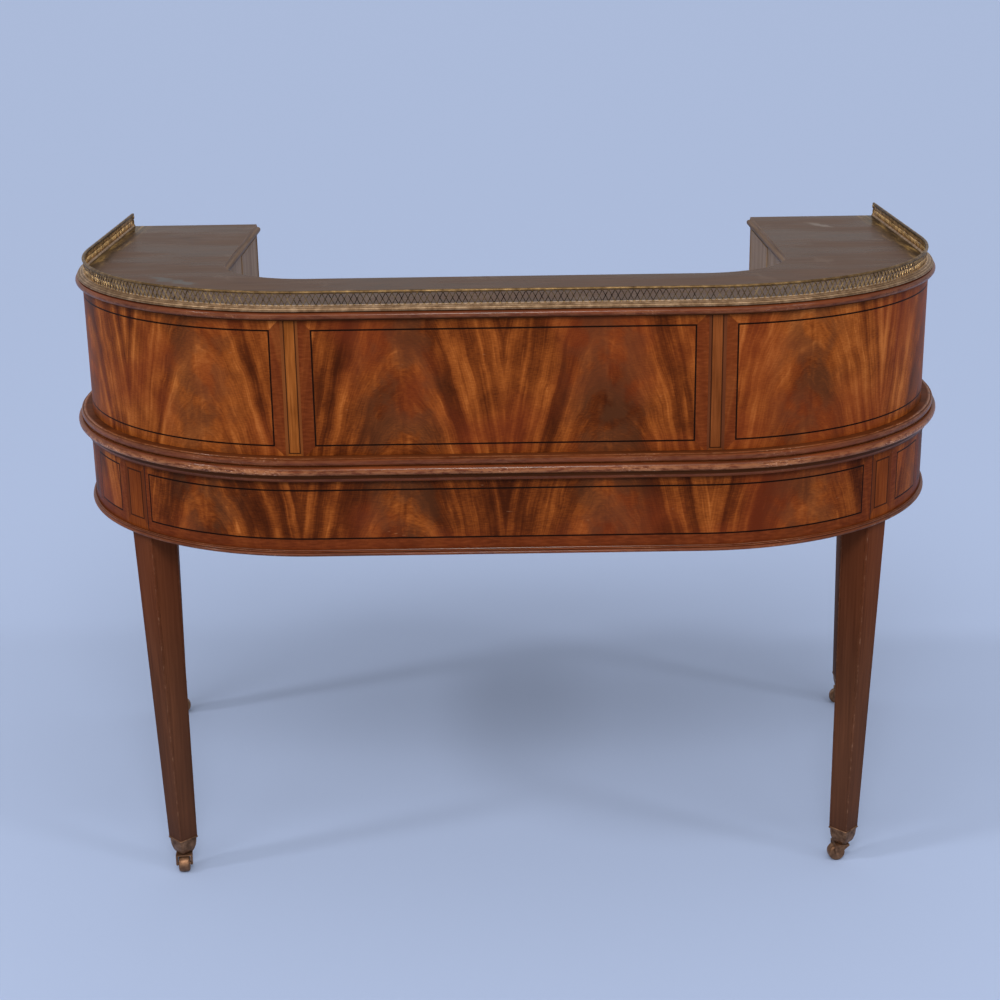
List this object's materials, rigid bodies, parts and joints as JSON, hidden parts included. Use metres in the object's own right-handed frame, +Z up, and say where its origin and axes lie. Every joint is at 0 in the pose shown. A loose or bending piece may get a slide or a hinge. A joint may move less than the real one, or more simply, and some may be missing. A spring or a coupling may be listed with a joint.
{
  "type": "carlton house desk",
  "caption": "D-shaped writing desk with a raised stage round the back and sides, pierced brass gallery, frieze drawers, corner cupboards and tapered legs on swivelling castors.",
  "frame": {"origin": "on the floor under the middle of the desk's bounding box", "axes": "+Z up, +Y towards the sitter, +X to the right of someone who looks at the rounded back"},
  "size_m": [1.418, 0.838, 0.9965],
  "materials": {
    "figured_mahogany": "aged polished flame veneer with dark stringing",
    "mahogany": "worn polish",
    "oak_lining": "unpolished",
    "aged_brass": "aged and dulled",
    "dark_brass": "dark with age",
    "green_leather": "worn satin"
  },
  "bodies": {
    "desk": {"frieze_back": "figured_mahogany", "frieze_left": "figured_mahogany", "frieze_right": "figured_mahogany", "table_top": "figured_mahogany", "stage_top": "figured_mahogany", "back_panel": "figured_mahogany", "end_panel_left": "figured_mahogany", "end_panel_right": "figured_mahogany", "wing_front_left": "figured_mahogany", "wing_front_right": "figured_mahogany", "leg_back_left": "mahogany", "leg_back_right": "mahogany", "leg_front_left": "mahogany", "leg_front_right": "mahogany", "frieze_bead": "mahogany", "drawer_rail": "mahogany", "drawer_divider_left": "mahogany", "drawer_divider_right": "mahogany", "stage_base": "mahogany", "pilaster_left": "mahogany", "pilaster_right": "mahogany", "wing_partition_left": "mahogany", "wing_partition_right": "mahogany", "pigeonhole_case": "oak_lining", "gallery": "aged_brass", "socket_back_left": "dark_brass", "socket_back_right": "dark_brass", "socket_front_left": "dark_brass", "socket_front_right": "dark_brass", "writing_leather": "green_leather"},
    "frieze_drawer_left": {"frieze_drawer_front_left": "figured_mahogany", "frieze_drawer_box_left": "oak_lining", "frieze_knob_left_a": "aged_brass"},
    "frieze_drawer_centre": {"frieze_drawer_front_centre": "figured_mahogany", "frieze_drawer_box_centre": "oak_lining", "frieze_knob_centre_a": "aged_brass", "frieze_knob_centre_b": "aged_brass"},
    "frieze_drawer_right": {"frieze_drawer_front_right": "figured_mahogany", "frieze_drawer_box_right": "oak_lining", "frieze_knob_right_a": "aged_brass"},
    "small_drawer_left": {"small_drawer_left": "figured_mahogany", "small_knob_left": "aged_brass"},
    "small_drawer_centre": {"small_drawer_centre": "figured_mahogany", "small_knob_centre": "aged_brass"},
    "small_drawer_right": {"small_drawer_right": "figured_mahogany", "small_knob_right": "aged_brass"},
    "wing_drawer_left": {"wing_drawer_left": "figured_mahogany", "wing_knob_left": "aged_brass"},
    "corner_door_left": {"corner_door_left": "figured_mahogany"},
    "wing_drawer_right": {"wing_drawer_right": "figured_mahogany", "wing_knob_right": "aged_brass"},
    "corner_door_right": {"corner_door_right": "figured_mahogany"},
    "castor_back_left": {"castor_fork_back_left": "dark_brass"},
    "wheel_back_left": {"castor_wheel_back_left": "aged_brass"},
    "castor_back_right": {"castor_fork_back_right": "dark_brass"},
    "wheel_back_right": {"castor_wheel_back_right": "aged_brass"},
    "castor_front_left": {"castor_fork_front_left": "dark_brass"},
    "wheel_front_left": {"castor_wheel_front_left": "aged_brass"},
    "castor_front_right": {"castor_fork_front_right": "dark_brass"},
    "wheel_front_right": {"castor_wheel_front_right": "aged_brass"}
  },
  "joints": [
    {"name": "frieze_drawer_left_slide", "type": "slide", "parent": "desk", "child": "frieze_drawer_left", "axis": [0, 1, 0], "range_m": [0, 0.26]},
    {"name": "frieze_drawer_centre_slide", "type": "slide", "parent": "desk", "child": "frieze_drawer_centre", "axis": [0, 1, 0], "range_m": [0, 0.26]},
    {"name": "frieze_drawer_right_slide", "type": "slide", "parent": "desk", "child": "frieze_drawer_right", "axis": [0, 1, 0], "range_m": [0, 0.26]},
    {"name": "small_drawer_left_slide", "type": "slide", "parent": "desk", "child": "small_drawer_left", "axis": [0, 1, 0], "range_m": [0, 0.15]},
    {"name": "small_drawer_centre_slide", "type": "slide", "parent": "desk", "child": "small_drawer_centre", "axis": [0, 1, 0], "range_m": [0, 0.15]},
    {"name": "small_drawer_right_slide", "type": "slide", "parent": "desk", "child": "small_drawer_right", "axis": [0, 1, 0], "range_m": [0, 0.15]},
    {"name": "wing_drawer_left_slide", "type": "slide", "parent": "desk", "child": "wing_drawer_left", "axis": [1, 0, 0], "range_m": [0, 0.12]},
    {"name": "wing_drawer_right_slide", "type": "slide", "parent": "desk", "child": "wing_drawer_right", "axis": [-1, 0, 0], "range_m": [0, 0.12]},
    {"name": "corner_door_left_hinge", "type": "hinge", "parent": "desk", "child": "corner_door_left", "pos_m": [-0.455, -0.019, 0.8533], "axis": [0, 0, 1], "range_deg": [0, 90]},
    {"name": "corner_door_right_hinge", "type": "hinge", "parent": "desk", "child": "corner_door_right", "pos_m": [0.455, -0.019, 0.8533], "axis": [0, 0, -1], "range_deg": [0, 90]},
    {"name": "castor_back_left_swivel", "type": "hinge", "parent": "desk", "child": "castor_back_left", "pos_m": [-0.54756, -0.25305, 0.0336], "axis": [0, 0, 1], "continuous": true},
    {"name": "wheel_back_left_spin", "type": "hinge", "parent": "castor_back_left", "child": "wheel_back_left", "pos_m": [-0.54641, -0.26399, 0.01393], "axis": [0.9945, 0.1045, 0], "continuous": true},
    {"name": "castor_back_right_swivel", "type": "hinge", "parent": "desk", "child": "castor_back_right", "pos_m": [0.54756, -0.25305, 0.0336], "axis": [0, 0, 1], "continuous": true},
    {"name": "wheel_back_right_spin", "type": "hinge", "parent": "castor_back_right", "child": "wheel_back_right", "pos_m": [0.53667, -0.25459, 0.01393], "axis": [0.1392, -0.9903, 0], "continuous": true},
    {"name": "castor_front_left_swivel", "type": "hinge", "parent": "desk", "child": "castor_front_left", "pos_m": [-0.6635, 0.3735, 0.0336], "axis": [0, 0, 1], "continuous": true},
    {"name": "wheel_front_left_spin", "type": "hinge", "parent": "castor_front_left", "child": "wheel_front_left", "pos_m": [-0.65267, 0.37541, 0.01393], "axis": [-0.1736, 0.9848, 0], "continuous": true},
    {"name": "castor_front_right_swivel", "type": "hinge", "parent": "desk", "child": "castor_front_right", "pos_m": [0.6635, 0.3735, 0.0336], "axis": [0, 0, 1], "continuous": true},
    {"name": "wheel_front_right_spin", "type": "hinge", "parent": "castor_front_right", "child": "wheel_front_right", "pos_m": [0.65267, 0.37541, 0.01393], "axis": [-0.1736, -0.9848, 0], "continuous": true}
  ]
}
